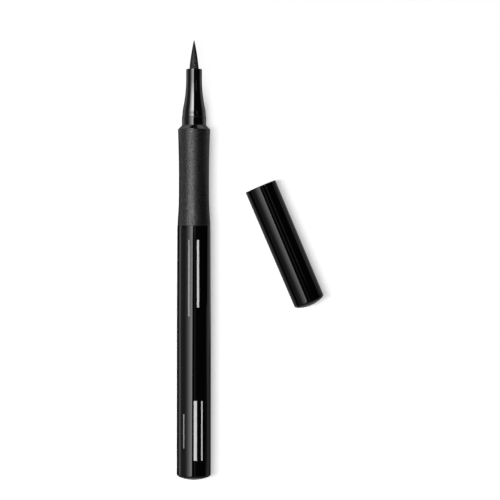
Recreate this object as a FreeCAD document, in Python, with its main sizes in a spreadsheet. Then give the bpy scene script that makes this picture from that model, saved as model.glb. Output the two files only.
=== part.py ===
import FreeCAD, Part
import math
import os
import re
import Sketcher

# A liquid liner pen with a felt tip, lying on its side, and its cap, pulled off and laid beside it.
# The axis of the pen is the Y axis, its tip points to +Y, and Z is up.
# The origin is on that axis, in the plane where the mouth of the cap comes to rest.
# The pieces of the pen are drawn from the tail upwards and those of the cap from its mouth upwards.
# All lengths are in millimetres, and angles are in degrees.

sizes = {
    # Barrel tube: a drafted tube with the foot of the grip's rear flank on its front end
    "barrel_length": 73.18,
    "barrel_diameter": 10.0,
    "barrel_wall": 0.9,
    "tail_edge_radius": 0.2,
    "taper_length": 25.9,
    "taper_rise": 0.095,
    "flank_on_barrel": 2.68,
    "rib_count": 6,
    "rib_width": 0.7,
    "rib_end_gap": 1.0,
    # Tail plug: a dome, a skirt pressed into the tube, and a stop that holds the reservoir forward
    "tail_dome_height": 1.45,
    "tail_skirt_length": 6.5,
    "tail_skirt_wall": 0.8,
    "tail_floor_thickness": 0.7,
    "tail_stop_length": 5.0,
    "tail_stop_inset": 0.35,
    "tail_stop_wall": 0.8,
    # Grip sleeve: a soft sleeve with a waist, a rear flank and a gentle flare to the front
    "flank_length": 12.65,
    "flank_rise": 0.46,
    "flank_hollow_share": 0.6,
    "waist_length": 4.4,
    "grip_flare_length": 13.85,
    "grip_flare_rise": 0.31,
    "sleeve_wall": 0.62,
    "sleeve_clearance": 0.03,
    # Front section: insert in the tube, neck in the sleeve, bevelled shoulder and seat of the cap
    "insert_length": 8.0,
    "neck_wall": 0.845,
    "shoulder_rim": 0.12,
    "shoulder_bevel_length": 1.18,
    "seat_wall": 0.625,
    "seat_length": 2.45,
    "lead_in": 0.4,
    # Nozzle: skirt, flare and tube, with a plug pressed into the front section
    "nozzle_plug_length": 13.0,
    "skirt_step": 0.035,
    "skirt_length": 0.79,
    "skirt_rise": 0.105,
    "flare_length": 10.44,
    "flare_hollow_share": 0.83,
    "nozzle_wall": 0.505,
    "nozzle_tube_length": 2.87,
    "nozzle_edge_radius": 0.18,
    "nib_bore_length": 4.5,
    "nib_clearance": 0.05,
    "vent_count": 4,
    "vent_width": 0.4,
    "vent_depth": 0.25,
    # Nib holder: a tube that grips the stem of the nib, with air slots along its outside
    "holder_wall": 0.38,
    "holder_flange_rim": 0.4,
    "holder_flange_length": 3.0,
    "wick_guide_length": 5.1,
    "slot_count": 3,
    "slot_width": 0.6,
    "slot_depth": 0.16,
    # Nib: a felt rod ground to a slightly swollen cone with a small ball at its point
    "nib_diameter": 2.8,
    "nib_reach": 8.45,
    "nib_cone_curve": 70.0,
    "nib_point_curve": 0.13,
    "nib_point_share": 0.77,
    "socket_depth": 2.5,
    # Feed wick and reservoir
    "wick_diameter": 1.9,
    "wick_reach": 14.0,
    "reservoir_clearance": 0.08,
    "reservoir_gap": 0.2,
    "film_thickness": 0.1,
    # Cap shell and its crown
    "cap_seat_clearance": 0.05,
    "cap_mouth_depth": 5.2,
    "cap_mouth_lead": 0.25,
    "cap_mouth_edge": 0.15,
    "cap_ledge": 0.225,
    "cap_wall": 0.775,
    "cap_draft": 0.125,
    "cap_end_edge": 0.3,
    "crown_height": 1.15,
    "crown_plug_length": 3.0,
    # Inner cap: a sealing cup that floats in the cap on a spring
    "inner_slide_clearance": 0.08,
    "inner_flange_rim": 0.32,
    "inner_flange_length": 1.0,
    "inner_wall": 0.5,
    "inner_end_wall": 0.8,
    "seal_bevel": 0.3,
    "tip_room": 2.0,
    # Cap spring and the bosses that centre it
    "spring_length": 6.05,
    "spring_wire": 0.4,
    "spring_turns": 6,
    "spring_end_gap": 0.04,
    "boss_diameter": 3.2,
    "boss_length": 1.0,
    "boss_clearance": 0.4,
    # Fits and cuts
    "press_clearance": 0.02,
    "cut_overrun": 1.0,
    # Where the cap lies, measured from the middle of the seat on the pen
    "cap_side_offset": 19.56,
    "cap_behind_seat": 17.9,
    "cap_lay_angle": 23.02,
}

# Radii, curves and places along the two axes, each worked out from the sizes above
places = {
    # Outside of the pen, from the tail forward
    "barrel_radius": "barrel_diameter / 2",
    "tail_end": "tail_dome_height",
    "tail_dome_radius": "barrel_radius - tail_edge_radius",
    "tail_dome_curve": "(tail_dome_radius ^ 2 + tail_dome_height ^ 2) / (2 * tail_dome_height)",
    "grip_line": "tail_end + barrel_length",
    "shoulder": "grip_line - flank_on_barrel",
    "shoulder_radius": "barrel_radius - taper_rise",
    "taper_start": "shoulder - taper_length",
    "waist_radius": "shoulder_radius - flank_rise",
    "waist_start": "shoulder + flank_length",
    "waist_end": "waist_start + waist_length",
    "flank_curve": "(flank_length ^ 2 + flank_rise ^ 2) / (2 * flank_rise)",
    "flank_hollow_curve": "flank_hollow_share * flank_curve",
    "flank_round_curve": "(1 - flank_hollow_share) * flank_curve",
    "flank_bend": "shoulder + (1 - flank_hollow_share) * flank_length",
    "flank_bend_radius": "shoulder_radius - (1 - flank_hollow_share) * flank_rise",
    "grip_line_drop": "flank_round_curve - sqrt(flank_round_curve ^ 2 - flank_on_barrel ^ 2)",
    "grip_line_radius": "shoulder_radius - grip_line_drop",
    "grip_front": "waist_end + grip_flare_length",
    "grip_front_radius": "waist_radius + grip_flare_rise",
    "grip_flare_curve": "(grip_flare_length ^ 2 + grip_flare_rise ^ 2) / (2 * grip_flare_rise)",
    "shoulder_edge": "grip_front + shoulder_rim",
    "cap_seat": "shoulder_edge + shoulder_bevel_length",
    "seat_radius": "feed_bore + seat_wall",
    "parting": "cap_seat + seat_length",
    "skirt_radius": "seat_radius - skirt_step",
    "flare_foot": "parting + skirt_length",
    "flare_foot_radius": "skirt_radius - skirt_rise",
    "flare_rise": "flare_foot_radius - nozzle_tube_radius",
    "flare_curve": "(flare_length ^ 2 + flare_rise ^ 2) / (2 * flare_rise)",
    "flare_hollow_curve": "flare_hollow_share * flare_curve",
    "flare_round_curve": "(1 - flare_hollow_share) * flare_curve",
    "flare_bend": "flare_foot + (1 - flare_hollow_share) * flare_length",
    "flare_bend_radius": "flare_foot_radius - (1 - flare_hollow_share) * flare_rise",
    "flare_top": "flare_foot + flare_length",
    "nozzle_tube_radius": "holder_bore + nozzle_wall",
    "nozzle_rim": "flare_top + nozzle_tube_length",
    "nib_radius": "nib_diameter / 2",
    "nib_tip": "nozzle_rim + nib_reach",
    "nib_point_radius": "nib_point_share * nib_point_curve",
    "nib_point_start": "nib_tip - nib_point_curve * (1 - sqrt(1 - nib_point_share ^ 2))",
    # Inside of the pen
    "barrel_bore": "barrel_radius - barrel_wall",
    "tail_skirt_radius": "barrel_bore - press_clearance",
    "tail_skirt_end": "tail_end + tail_skirt_length",
    "tail_floor": "tail_end + tail_floor_thickness",
    "tail_stop_radius": "reservoir_radius - tail_stop_inset",
    "tail_stop_end": "tail_skirt_end + tail_stop_length",
    "sleeve_bore": "waist_radius - sleeve_wall",
    "neck_radius": "sleeve_bore - sleeve_clearance",
    "feed_bore": "neck_radius - neck_wall",
    "insert_radius": "barrel_bore - press_clearance",
    "insert_rear": "grip_line - insert_length",
    "rib_start": "tail_skirt_end + rib_end_gap",
    "rib_length": "insert_rear - rib_end_gap - rib_start",
    "plug_radius": "feed_bore - press_clearance",
    "plug_rear": "parting - nozzle_plug_length",
    "nib_bore": "nib_radius + nib_clearance",
    "nib_bore_end": "nozzle_rim - nib_bore_length",
    "nib_rear": "plug_rear + wick_guide_length",
    "nib_grip": "nib_radius + press_clearance",
    "holder_tube_radius": "nib_grip + holder_wall",
    "holder_bore": "holder_tube_radius + press_clearance",
    "holder_flange_radius": "holder_tube_radius + holder_flange_rim",
    "holder_pocket": "holder_flange_radius + press_clearance",
    "holder_flange_end": "plug_rear + holder_flange_length",
    "wick_radius": "wick_diameter / 2",
    "wick_hole": "wick_radius + press_clearance",
    "wick_front": "nib_rear + socket_depth",
    "wick_rear": "reservoir_front - wick_reach",
    "reservoir_front": "plug_rear - reservoir_gap",
    "reservoir_radius": "film_bore - press_clearance",
    "film_radius": "feed_bore - reservoir_clearance",
    "film_bore": "film_radius - film_thickness",
    # Cap, from its mouth to its crown; it is deep enough for the nose of the pen
    "cap_bore": "seat_radius + cap_seat_clearance",
    "cap_chamber": "cap_bore + cap_ledge",
    "cap_end_radius": "cap_chamber + cap_wall",
    "cap_mouth_radius": "cap_end_radius + cap_draft",
    "inner_flange_radius": "cap_chamber - inner_slide_clearance",
    "inner_flange_end": "cap_mouth_depth + inner_flange_length",
    "inner_radius": "inner_flange_radius - inner_flange_rim",
    "inner_bore": "inner_radius - inner_wall",
    "inner_floor": "nib_tip - cap_seat + tip_room",
    "inner_end": "inner_floor + inner_end_wall",
    "boss_radius": "boss_diameter / 2",
    "coil_radius": "boss_radius + boss_clearance + spring_wire / 2",
    "coil_start": "inner_end + spring_end_gap + spring_wire / 2",
    "coil_rise": "spring_length - 2 * spring_end_gap - spring_wire",
    "crown_floor": "inner_end + spring_length",
    "crown_plug_radius": "cap_chamber - press_clearance",
    "crown_radius": "cap_end_radius - cap_end_edge",
    "crown_curve": "(crown_radius ^ 2 + crown_height ^ 2) / (2 * crown_height)",
    "cap_length": "crown_floor + crown_plug_length",
}

quarter_turn = 90.0
coil_steps_per_turn = 4
gap_steps_per_turn = 36

doc = FreeCAD.newDocument("liner_pen")
sheet = doc.addObject("Spreadsheet::Sheet", "Sizes")
for row, (alias, value) in enumerate(sizes.items(), start=1):
    sheet.set("A%d" % row, alias)
    sheet.set("B%d" % row, str(value))
    sheet.setAlias("B%d" % row, alias)
doc.recompute()


def formula(words):
    # Names of places are opened up, and names of sizes become references to the sheet's cells.
    def opened(found):
        name = found.group(0)
        if name in places:
            return "(" + formula(places[name]) + ")"
        return "Sizes." + name if name in sizes else name
    return re.sub("[a-z_]+", opened, words)


def number(words):
    return float(sheet.evalExpression(formula(words)))


def new_sketch(body, name, plane_role):
    sketch = body.newObject("Sketcher::SketchObject", name)
    plane = [item for item in body.Origin.OriginFeatures if item.Role == plane_role][0]
    sketch.AttachmentSupport = [(plane, "")]
    sketch.MapMode = "FlatFace"
    return sketch


def dimension(sketch, kind, places_in_sketch, words):
    index = sketch.addConstraint(Sketcher.Constraint(kind, *places_in_sketch, number(words)))
    sketch.setExpression("Constraints[%d]" % index, formula(words))


def arc_between(start, end, radius, turns_left):
    # The shorter arc from start to end; its centre is on the left of the way or on the right.
    chord = end - start
    side = FreeCAD.Vector(-chord.y, chord.x, 0).normalize()
    if not turns_left:
        side = -side
    centre = (start + end) / 2 + side * math.sqrt(radius ** 2 - (chord.Length / 2) ** 2)
    angles = [math.atan2(point.y - centre.y, point.x - centre.x) for point in (start, end)]
    if not turns_left:
        angles.reverse()
    if angles[1] < angles[0]:
        angles[1] += 2 * math.pi
    circle = Part.Circle(centre, FreeCAD.Vector(0, 0, 1), radius)
    return Part.ArcOfCircle(circle, angles[0], angles[1])


def half_section(body, name, corners):
    # A closed outline of radius and height. A corner also says whether the edge that ends there
    # is an arc, "round" outwards or "hollow", and its radius. The way round is anticlockwise.
    sketch = new_sketch(body, name, "XZ_Plane")
    points = [FreeCAD.Vector(number(corner[0]), number(corner[1]), 0) for corner in corners]
    edges = []
    for index, corner in enumerate(corners):
        start = points[index - 1]
        end = points[index]
        if len(corner) == 2:
            edges.append((sketch.addGeometry(Part.LineSegment(start, end)), 1, 2))
            continue
        is_round = corner[2] == "round"
        arc = sketch.addGeometry(arc_between(start, end, number(corner[3]), is_round))
        edges.append((arc, 1, 2) if is_round else (arc, 2, 1))
    for index, corner in enumerate(corners):
        edge, _, last = edges[index]
        following, first, _ = edges[(index + 1) % len(edges)]
        sketch.addConstraint(Sketcher.Constraint("Coincident", edge, last, following, first))
        for kind, words, axis in (("DistanceX", corner[0], -2), ("DistanceY", corner[1], -1)):
            if words == "0":
                sketch.addConstraint(Sketcher.Constraint("PointOnObject", edge, last, axis))
            else:
                dimension(sketch, kind, (-1, 1, edge, last), words)
        if len(corner) > 2:
            dimension(sketch, "Radius", (edge,), corner[3])
    return sketch


def turned(label, corners):
    body = doc.addObject("PartDesign::Body", label)
    body.Label = label
    sketch = half_section(body, label + "_section", corners)
    feature = body.newObject("PartDesign::Revolution", label + "_turning")
    feature.Profile = sketch
    feature.ReferenceAxis = (sketch, ["V_Axis"])
    feature.Angle = 4 * quarter_turn
    body.Tip = feature
    doc.recompute()
    return body


def bars_round_axis(body, name, kind, inner, outer, width, start, length, count):
    # A ring of straight bars along the axis, added to the piece or cut out of it upwards.
    before = body.Shape.Volume
    sketch = new_sketch(body, name + "_section", "XY_Plane")
    low = -number(width) / 2
    high = number(width) / 2
    near = number(inner)
    far = number(outer)
    points = [FreeCAD.Vector(*corner, 0) for corner in ((near, low), (far, low), (far, high), (near, high))]
    lines = []
    for index, point in enumerate(points):
        lines.append(sketch.addGeometry(Part.LineSegment(point, points[(index + 1) % 4])))
    for index, line in enumerate(lines):
        following = lines[(index + 1) % 4]
        sketch.addConstraint(Sketcher.Constraint("Coincident", line, 2, following, 1))
    sketch.addConstraint(Sketcher.Constraint("Horizontal", lines[0]))
    sketch.addConstraint(Sketcher.Constraint("Horizontal", lines[2]))
    sketch.addConstraint(Sketcher.Constraint("Vertical", lines[3]))
    sketch.addConstraint(Sketcher.Constraint("Symmetric", lines[1], 1, lines[1], 2, -1))
    dimension(sketch, "DistanceY", (lines[1], 1, lines[1], 2), width)
    dimension(sketch, "DistanceX", (-1, 1, lines[3], 1), inner)
    dimension(sketch, "DistanceX", (-1, 1, lines[1], 1), outer)
    sketch.setExpression("AttachmentOffset.Base.z", formula(start))
    bar = body.newObject("PartDesign::" + kind, name)
    bar.Profile = sketch
    bar.setExpression("Length", formula(length))
    bar.Reversed = kind == "Pocket"
    body.Tip = bar
    doc.recompute()
    ring = body.newObject("PartDesign::PolarPattern", name + "_ring")
    ring.Originals = [bar]
    ring.Axis = (sketch, ["N_Axis"])
    ring.Angle = 4 * quarter_turn
    ring.setExpression("Occurrences", "Sizes." + count)
    body.Tip = ring
    doc.recompute()
    change = body.Shape.Volume - before
    if (change > 0) != (kind == "Pad"):
        raise RuntimeError("%s changed nothing on %s" % (name, body.Label))


def make_barrel_tube():
    tube = turned("barrel_tube", [
        ("barrel_bore", "tail_end"),
        ("barrel_radius - tail_edge_radius", "tail_end"),
        ("barrel_radius", "tail_end + tail_edge_radius", "round", "tail_edge_radius"),
        ("barrel_radius", "taper_start"),
        ("shoulder_radius", "shoulder"),
        ("grip_line_radius", "grip_line", "round", "flank_round_curve"),
        ("barrel_bore", "grip_line"),
    ])
    bars_round_axis(tube, "reservoir_ribs", "Pad", "feed_bore", "barrel_bore + barrel_wall / 2",
                    "rib_width", "rib_start", "rib_length", "rib_count")
    return tube


def make_tail_plug():
    return turned("tail_plug", [
        ("0", "0"),
        ("tail_dome_radius", "tail_end", "round", "tail_dome_curve"),
        ("tail_skirt_radius", "tail_end"),
        ("tail_skirt_radius", "tail_skirt_end"),
        ("tail_skirt_radius - tail_skirt_wall", "tail_skirt_end"),
        ("tail_skirt_radius - tail_skirt_wall", "tail_floor"),
        ("tail_stop_radius", "tail_floor"),
        ("tail_stop_radius", "tail_stop_end"),
        ("tail_stop_radius - tail_stop_wall", "tail_stop_end"),
        ("tail_stop_radius - tail_stop_wall", "tail_floor"),
        ("0", "tail_floor"),
    ])


def make_grip_sleeve():
    return turned("grip_sleeve", [
        ("sleeve_bore", "grip_line"),
        ("grip_line_radius", "grip_line"),
        ("flank_bend_radius", "flank_bend", "round", "flank_round_curve"),
        ("waist_radius", "waist_start", "hollow", "flank_hollow_curve"),
        ("waist_radius", "waist_end"),
        ("grip_front_radius", "grip_front", "hollow", "grip_flare_curve"),
        ("sleeve_bore", "grip_front"),
    ])


def make_front_section():
    return turned("front_section", [
        ("feed_bore", "insert_rear"),
        ("insert_radius - lead_in", "insert_rear"),
        ("insert_radius", "insert_rear + lead_in"),
        ("insert_radius", "grip_line"),
        ("neck_radius", "grip_line"),
        ("neck_radius", "grip_front"),
        ("grip_front_radius", "grip_front"),
        ("grip_front_radius", "shoulder_edge"),
        ("seat_radius", "cap_seat"),
        ("seat_radius", "parting"),
        ("feed_bore", "parting"),
    ])


def make_nozzle():
    nozzle = turned("nozzle", [
        ("holder_pocket", "plug_rear"),
        ("plug_radius - lead_in", "plug_rear"),
        ("plug_radius", "plug_rear + lead_in"),
        ("plug_radius", "parting"),
        ("skirt_radius", "parting"),
        ("flare_foot_radius", "flare_foot"),
        ("flare_bend_radius", "flare_bend", "round", "flare_round_curve"),
        ("nozzle_tube_radius", "flare_top", "hollow", "flare_hollow_curve"),
        ("nozzle_tube_radius", "nozzle_rim - nozzle_edge_radius"),
        ("nozzle_tube_radius - nozzle_edge_radius", "nozzle_rim", "round", "nozzle_edge_radius"),
        ("nib_bore", "nozzle_rim"),
        ("nib_bore", "nib_bore_end"),
        ("holder_bore", "nib_bore_end"),
        ("holder_bore", "holder_flange_end"),
        ("holder_pocket", "holder_flange_end"),
    ])
    bars_round_axis(nozzle, "air_vents", "Pocket", "nib_bore / 2", "nib_bore + vent_depth",
                    "vent_width", "nib_bore_end", "nib_bore_length + cut_overrun", "vent_count")
    return nozzle


def make_nib_holder():
    holder = turned("nib_holder", [
        ("wick_hole", "plug_rear"),
        ("holder_flange_radius", "plug_rear"),
        ("holder_flange_radius", "holder_flange_end"),
        ("holder_tube_radius", "holder_flange_end"),
        ("holder_tube_radius", "nib_bore_end"),
        ("nib_grip", "nib_bore_end"),
        ("nib_grip", "nib_rear"),
        ("wick_hole", "nib_rear"),
    ])
    bars_round_axis(holder, "air_slots", "Pocket", "holder_tube_radius - slot_depth",
                    "holder_flange_radius + cut_overrun", "slot_width", "plug_rear - cut_overrun",
                    "nib_bore_end - plug_rear + 2 * cut_overrun", "slot_count")
    return holder


def make_nib():
    return turned("nib", [
        ("0", "wick_front"),
        ("wick_hole", "wick_front"),
        ("wick_hole", "nib_rear"),
        ("nib_radius", "nib_rear"),
        ("nib_radius", "nozzle_rim"),
        ("nib_point_radius", "nib_point_start", "round", "nib_cone_curve"),
        ("0", "nib_tip", "round", "nib_point_curve"),
    ])


def make_feed_wick():
    return turned("feed_wick", [
        ("0", "wick_rear"),
        ("wick_radius", "wick_rear"),
        ("wick_radius", "wick_front"),
        ("0", "wick_front"),
    ])


def make_reservoir_core():
    return turned("reservoir_core", [
        ("0", "tail_stop_end"),
        ("reservoir_radius", "tail_stop_end"),
        ("reservoir_radius", "reservoir_front"),
        ("wick_hole", "reservoir_front"),
        ("wick_hole", "wick_rear"),
        ("0", "wick_rear"),
    ])


def make_reservoir_film():
    return turned("reservoir_film", [
        ("film_bore", "tail_stop_end"),
        ("film_radius", "tail_stop_end"),
        ("film_radius", "reservoir_front"),
        ("film_bore", "reservoir_front"),
    ])


def make_cap_shell():
    return turned("cap_shell", [
        ("cap_bore + cap_mouth_lead", "0"),
        ("cap_mouth_radius - cap_mouth_edge", "0"),
        ("cap_mouth_radius", "cap_mouth_edge", "round", "cap_mouth_edge"),
        ("cap_end_radius", "cap_length - cap_end_edge"),
        ("crown_radius", "cap_length", "round", "cap_end_edge"),
        ("cap_chamber", "cap_length"),
        ("cap_chamber", "cap_mouth_depth"),
        ("cap_bore", "cap_mouth_depth"),
        ("cap_bore", "cap_mouth_lead"),
    ])


def make_cap_crown():
    return turned("cap_crown", [
        ("0", "crown_floor - boss_length"),
        ("boss_radius", "crown_floor - boss_length"),
        ("boss_radius", "crown_floor"),
        ("crown_plug_radius", "crown_floor"),
        ("crown_plug_radius", "cap_length"),
        ("crown_radius", "cap_length"),
        ("0", "cap_length + crown_height", "round", "crown_curve"),
    ])


def make_inner_cap():
    return turned("inner_cap", [
        ("inner_bore + seal_bevel", "cap_mouth_depth"),
        ("inner_flange_radius", "cap_mouth_depth"),
        ("inner_flange_radius", "inner_flange_end"),
        ("inner_radius", "inner_flange_end"),
        ("inner_radius", "inner_end"),
        ("boss_radius", "inner_end"),
        ("boss_radius", "inner_end + boss_length"),
        ("0", "inner_end + boss_length"),
        ("0", "inner_floor"),
        ("inner_bore", "inner_floor"),
        ("inner_bore", "cap_mouth_depth + seal_bevel"),
    ])


def coil_point(turn):
    angle = 2 * math.pi * turn
    height = number("coil_start") + number("coil_rise") * turn / sizes["spring_turns"]
    radius = number("coil_radius")
    return FreeCAD.Vector(radius * math.cos(angle), radius * math.sin(angle), height)


def coil_direction(turn):
    angle = 2 * math.pi * turn
    around = 2 * math.pi * number("coil_radius")
    climb = number("coil_rise") / sizes["spring_turns"]
    return FreeCAD.Vector(-around * math.sin(angle), around * math.cos(angle), climb).normalize()


def arc_middle(start, direction, end):
    # The middle of the arc that leaves start in the given direction and passes through end
    chord = end - start
    along = FreeCAD.Vector(chord).normalize()
    lean = direction - along * direction.dot(along)
    bulge = (1 - direction.dot(along)) / lean.Length
    return start + chord / 2 + lean.normalize() * (chord.Length / 2 * bulge)


def coil_path():
    # Each quarter turn of the coil is two arcs that share a tangent.
    edges = []
    step = 1 / coil_steps_per_turn
    for index in range(sizes["spring_turns"] * coil_steps_per_turn):
        start = coil_point(index * step)
        end = coil_point((index + 1) * step)
        leaving = coil_direction(index * step)
        arriving = coil_direction((index + 1) * step)
        chord = end - start
        both = chord.dot(leaving + arriving)
        bend = 2 * (1 - leaving.dot(arriving))
        reach = (math.sqrt(both ** 2 + bend * chord.dot(chord)) - both) / bend
        joint = (start + end + (leaving - arriving) * reach) / 2
        edges.append(Part.Arc(start, arc_middle(start, leaving, joint), joint).toShape())
        edges.append(Part.Arc(joint, arc_middle(end, -arriving, joint), end).toShape())
    return Part.Wire(edges)


def least_coil_gap():
    # Distance between the wire's surfaces on points that lie half a turn or more apart
    count = sizes["spring_turns"] * gap_steps_per_turn
    points = [coil_point(index / gap_steps_per_turn) for index in range(count + 1)]
    far_enough = gap_steps_per_turn // 2
    pairs = ((a, b) for a in range(count + 1) for b in range(a + far_enough, count + 1))
    return min((points[a] - points[b]).Length for a, b in pairs) - number("spring_wire")


def make_cap_spring():
    start = coil_point(0)
    wire_end = Part.Circle(start, coil_direction(0), number("spring_wire / 2")).toShape()
    path = coil_path()
    spring = doc.addObject("Part::Feature", "cap_spring")
    spring.Label = "cap_spring"
    spring.Shape = path.makePipeShell([Part.Wire(wire_end)], True, False)
    expected = math.pi * number("spring_wire / 2") ** 2 * path.Length
    print("cap_spring volume over section times length: %.4f" % (spring.Shape.Volume / expected))
    print("cap_spring least gap between turns: %.3f mm" % least_coil_gap())
    return spring


def lay_down(piece, turn, base):
    # The piece's own axis is laid along +Y and turned about Z; its base follows the sheet.
    about_x = FreeCAD.Rotation(FreeCAD.Vector(1, 0, 0), -quarter_turn)
    about_z = FreeCAD.Rotation(FreeCAD.Vector(0, 0, 1), turn)
    piece.Placement = FreeCAD.Placement(FreeCAD.Vector(), about_z * about_x)
    for axis, words in zip("xyz", base):
        piece.setExpression("Placement.Base." + axis, formula(words))


pen_pieces = [
    make_barrel_tube(),
    make_tail_plug(),
    make_front_section(),
    make_grip_sleeve(),
    make_nozzle(),
    make_nib_holder(),
    make_nib(),
    make_feed_wick(),
    make_reservoir_core(),
    make_reservoir_film(),
]
cap_pieces = [
    make_cap_shell(),
    make_cap_crown(),
    make_inner_cap(),
    make_cap_spring(),
]
for piece in pen_pieces:
    lay_down(piece, 0, ("0", "-cap_seat", "0"))
for piece in cap_pieces:
    lay_down(piece, 2 * quarter_turn + number("cap_lay_angle"),
             ("cap_side_offset", "-cap_behind_seat", "cap_mouth_radius - barrel_radius"))
doc.recompute()

for item in doc.Objects:
    if "Invalid" in item.State or "Error" in item.State:
        raise RuntimeError("%s did not build: %s" % (item.Label, item.State))
for piece in pen_pieces + cap_pieces:
    shape = piece.Shape
    if shape.isNull() or not shape.isValid() or len(shape.Solids) != 1:
        raise RuntimeError("%s is not one valid solid" % piece.Label)

os.makedirs("parts", exist_ok=True)
for piece in pen_pieces + cap_pieces:
    piece.Shape.exportStep("parts/%s.step" % piece.Label)
    print("%-15s %8.2f mm3" % (piece.Label, piece.Shape.Volume))
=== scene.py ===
import math

import bpy
import numpy as np
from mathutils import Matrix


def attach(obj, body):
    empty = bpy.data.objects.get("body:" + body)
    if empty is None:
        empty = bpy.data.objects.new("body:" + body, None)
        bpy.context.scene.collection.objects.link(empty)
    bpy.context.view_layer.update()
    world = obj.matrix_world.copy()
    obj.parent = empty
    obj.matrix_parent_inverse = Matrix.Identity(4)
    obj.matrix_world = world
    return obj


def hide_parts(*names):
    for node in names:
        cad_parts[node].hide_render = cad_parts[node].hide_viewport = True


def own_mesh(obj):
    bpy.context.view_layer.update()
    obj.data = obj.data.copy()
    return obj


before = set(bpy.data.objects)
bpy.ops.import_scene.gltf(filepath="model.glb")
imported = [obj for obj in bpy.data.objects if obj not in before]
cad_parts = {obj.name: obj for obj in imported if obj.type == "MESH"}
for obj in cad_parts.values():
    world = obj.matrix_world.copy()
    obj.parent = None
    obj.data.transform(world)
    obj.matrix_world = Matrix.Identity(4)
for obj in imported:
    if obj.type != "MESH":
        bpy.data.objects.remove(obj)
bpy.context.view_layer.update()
print("frame loaded:", len(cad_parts), "nodes")

mm = 0.001
white = (1.0, 1.0, 1.0, 1.0)
upward = np.array([0.0, 0.0, 1.0])
roundSides = 192
sharpAngle = math.radians(35)
tiny = 1e-6
scene = bpy.context.scene
scene.view_settings.view_transform = "Standard"


def linear(hexColour):
    # sRGB hex to linear RGBA
    srgb = np.array([int(hexColour[i:i + 2], 16) for i in (1, 3, 5)]) / 255
    flat = np.where(srgb <= 0.04045, srgb / 12.92, ((srgb + 0.055) / 1.055) ** 2.4)
    return (*flat.tolist(), 1.0)


def perMetre(size):
    # texture scale for features of that size in mm, on Object coordinates in metres
    return 1 / (size * mm)


def addNode(tree, kind, links=None, **settings):
    # one node: settings are its own properties, links fill its sockets with values or other sockets.
    # Sockets that share a name go by number: a Mix has its share at 0, its values at 2 and 3 and its
    # colours at 6 and 7, and gives the mixed value at 0 and the mixed colour at 2.
    made = tree.nodes.new(kind)
    for name, value in settings.items():
        setattr(made, name, value)
    for socket, value in (links or {}).items():
        if isinstance(value, bpy.types.NodeSocket):
            tree.links.new(value, made.inputs[socket])
        else:
            made.inputs[socket].default_value = value
    return made


def startMaterial(name):
    made = bpy.data.materials.new(name)
    made.use_nodes = True
    made.node_tree.nodes.clear()
    return made, made.node_tree


def circleArc(centre, first, last, sweep, t):
    # for t from 0 to 1: centre + (sin((1 - t) sweep) * first + sin(t sweep) * last) / sin(sweep)
    return centre + (np.sin((1 - t) * sweep) * first + np.sin(t * sweep) * last) / math.sin(sweep)


def arcBetween(start, end, curve, steps, rounding=0.0):
    # corners along an arc of radius |curve| from start to end, in (radius, along);
    # it swells away from the axis where curve is positive and is hollow where negative
    a, b = np.array(start), np.array(end)
    chord = b - a
    run = np.linalg.norm(chord)
    outward = np.array([chord[1], -chord[0]]) / run
    rise = math.sqrt(curve ** 2 - run ** 2 / 4)
    centre = (a + b) / 2 - math.copysign(rise, curve) * outward
    t = np.linspace(0, 1, steps)[1:, None]
    points = circleArc(centre, a - centre, b - centre, 2 * math.asin(run / 2 / abs(curve)), t)
    return [(*p, 0.0) for p in points[:-1].tolist()] + [(*end, rounding)]


def roundedPath(corners, closed=True, steps=7, guardShare=0.45):
    # outline through (radius, along, rounding) corners in mm: a rounded corner becomes an arc that touches
    # both its sides, with a guard point past each end where there is room, so flat runs keep flat shading
    points = np.array(corners, float)
    t = np.linspace(0, 1, steps)[:, None]
    rows = []
    for k, rounding in enumerate(points[:, 2]):
        here = points[k, :2]
        if rounding == 0 or (not closed and k in (0, len(points) - 1)):
            rows.append(here[None])
            continue
        back = points[k - 1, :2] - here
        ahead = points[(k + 1) % len(points), :2] - here
        backRun, aheadRun = np.linalg.norm(back), np.linalg.norm(ahead)
        back, ahead = back / backRun, ahead / aheadRun
        half = math.acos(np.clip(back @ ahead, -1, 1)) / 2
        reach = rounding / math.tan(half)
        middle = (back + ahead) / np.linalg.norm(back + ahead)
        centre = here + middle * rounding / math.sin(half)
        first, last = here + back * reach - centre, here + ahead * reach - centre
        guard = reach + rounding
        if guard < guardShare * backRun:
            rows.append((here + back * guard)[None])
        rows.append(circleArc(centre, first, last, math.pi - 2 * half, t))
        if guard < guardShare * aheadRun:
            rows.append((here + ahead * guard)[None])
    return np.vstack(rows)


def evenAngles(count):
    return np.linspace(-math.pi, math.pi, count + 1)[:-1]


def gridQuads(lower, upper):
    # quads between rows of point numbers, with the last column joined to the first
    return np.stack([lower, np.roll(lower, -1, 1), np.roll(upper, -1, 1), upper], -1)


def cornerUv(around, along):
    # (u, v) at the four corners of each quad, from the values at the edges of the columns and rows
    shape = (len(along) - 1, len(around) - 1, 4)
    u = np.stack([around[:-1], around[1:], around[1:], around[:-1]], -1)[None]
    v = np.stack([along[:-1], along[:-1], along[1:], along[1:]], -1)[:, None]
    return np.stack([np.broadcast_to(u, shape), np.broadcast_to(v, shape)], -1)


def meshPiece(name, points, faces, uv):
    # smooth mesh through points in mm, with a UV map in mm
    mesh = bpy.data.meshes.new(name)
    mesh.from_pydata((points * mm).tolist(), [], faces)
    layer = mesh.uv_layers.new(name="surfaceMm")
    layer.data.foreach_set("uv", uv.astype(np.float32).ravel())
    mesh.shade_smooth()
    mesh.set_sharp_from_angle(angle=sharpAngle)
    made = bpy.data.objects.new(name, mesh)
    scene.collection.objects.link(made)
    return made


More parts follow.
